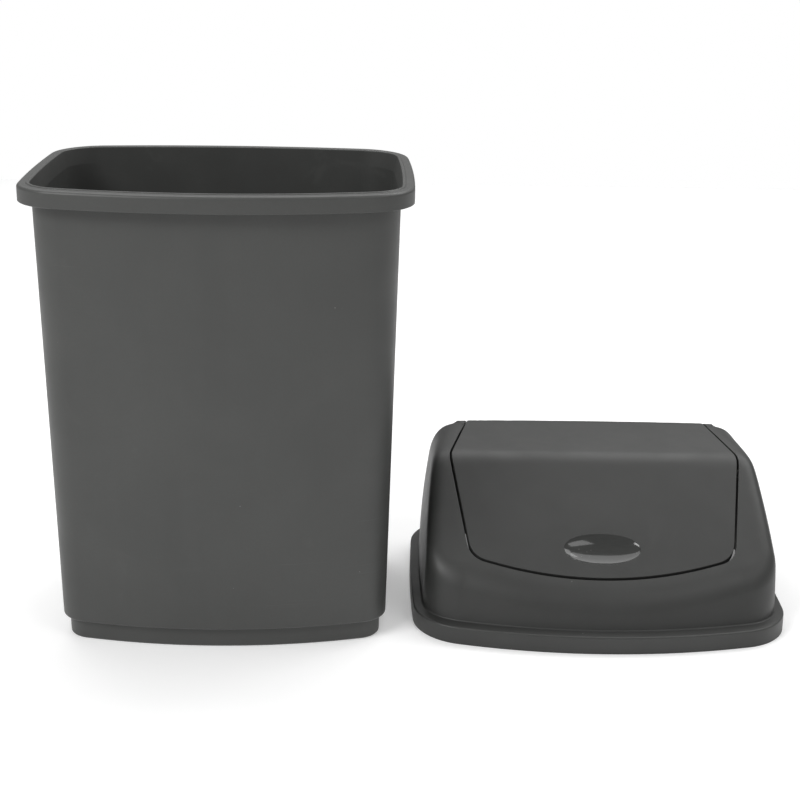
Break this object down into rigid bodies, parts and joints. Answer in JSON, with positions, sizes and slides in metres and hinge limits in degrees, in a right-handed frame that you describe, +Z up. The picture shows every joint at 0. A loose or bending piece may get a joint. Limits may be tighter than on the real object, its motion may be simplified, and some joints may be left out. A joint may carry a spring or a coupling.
{
  "type": "wastebasket",
  "caption": "Swing-lid waste bin: a tapered rounded-rectangle bin body with a skirted rim, its hooded lid lying beside it, and a balanced flap that swings in the hood.",
  "frame": {"origin": "centre of the bin body's flat base, on the surface it stands on", "axes": "+Z up, -Y the front, +X towards the lid that lies to the right of the body"},
  "size_m": [0.6904, 0.289, 0.413],
  "materials": {
    "bin_plastic": "satin dark grey polypropylene with a fine moulded grain",
    "hood_plastic": "satin dark grey polypropylene with a fine moulded grain",
    "flap_plastic": "satin dark grey polypropylene with a polished finger dimple"
  },
  "bodies": {
    "bin": {"bin_body": "bin_plastic"},
    "hood": {"lid_hood": "hood_plastic"},
    "flap": {"swing_flap": "flap_plastic"}
  },
  "joints": [
    {"name": "lid_lift", "type": "slide", "parent": "bin", "child": "hood", "axis": [0, 0, 1], "range_m": [0, 0.42]},
    {"name": "flap_swing", "type": "hinge", "parent": "hood", "child": "flap", "pos_m": [0.34766, 0.0217, 0.121], "axis": [0.9998, -0.0192, 0], "range_deg": [-60, 42]}
  ]
}
